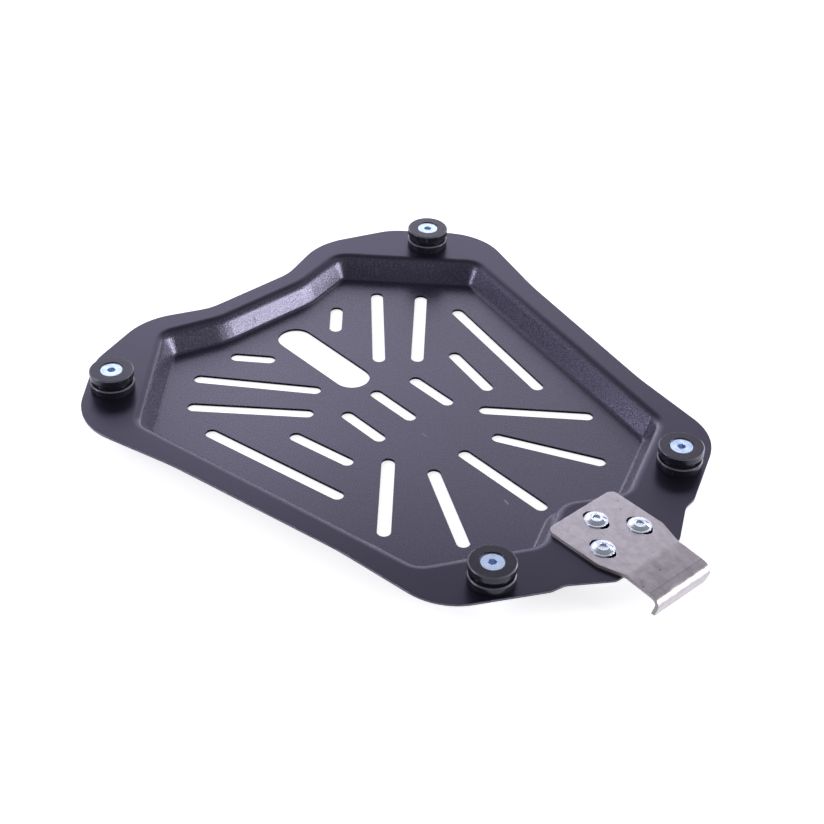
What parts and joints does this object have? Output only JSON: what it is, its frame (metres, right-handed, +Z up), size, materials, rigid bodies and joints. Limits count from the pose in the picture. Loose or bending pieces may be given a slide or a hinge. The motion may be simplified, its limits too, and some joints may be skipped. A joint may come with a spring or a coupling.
{
  "type": "luggage carrier plate",
  "caption": "Pressed steel tray with radiating slots, grooved case spools at its corners and a folded latch bracket at the rear, for mounting a luggage case on a motorbike.",
  "frame": {"origin": "under the middle of the overall length and width, on the underside of the floor", "axes": "+X from the front edge to the latch, +Y to the right, +Z up"},
  "size_m": [0.34, 0.285, 0.025],
  "materials": {
    "powder_coat": "black-slate powder coat, satin, fine grain on the walls",
    "spool_plastic": "black satin plastic with fine turned rings",
    "zinc": "bright zinc plating",
    "bare_steel": "mill finish steel, faintly mottled"
  },
  "bodies": {
    "root": {"carrier_plate": "powder_coat", "latch_bracket": "bare_steel", "spool_front_left": "spool_plastic", "spool_screw_front_left": "zinc", "spool_washer_front_left": "zinc", "spool_nut_front_left": "zinc", "spool_front_right": "spool_plastic", "spool_screw_front_right": "zinc", "spool_washer_front_right": "zinc", "spool_nut_front_right": "zinc", "spool_rear_left": "spool_plastic", "spool_screw_rear_left": "zinc", "spool_washer_rear_left": "zinc", "spool_nut_rear_left": "zinc", "spool_rear_right": "spool_plastic", "spool_screw_rear_right": "zinc", "spool_washer_rear_right": "zinc", "spool_nut_rear_right": "zinc", "bracket_screw_centre": "zinc", "bracket_top_washer_centre": "zinc", "bracket_under_washer_centre": "zinc", "bracket_nut_centre": "zinc", "bracket_screw_left": "zinc", "bracket_top_washer_left": "zinc", "bracket_under_washer_left": "zinc", "bracket_nut_left": "zinc", "bracket_screw_right": "zinc", "bracket_top_washer_right": "zinc", "bracket_under_washer_right": "zinc", "bracket_nut_right": "zinc"}
  },
  "joints": []
}
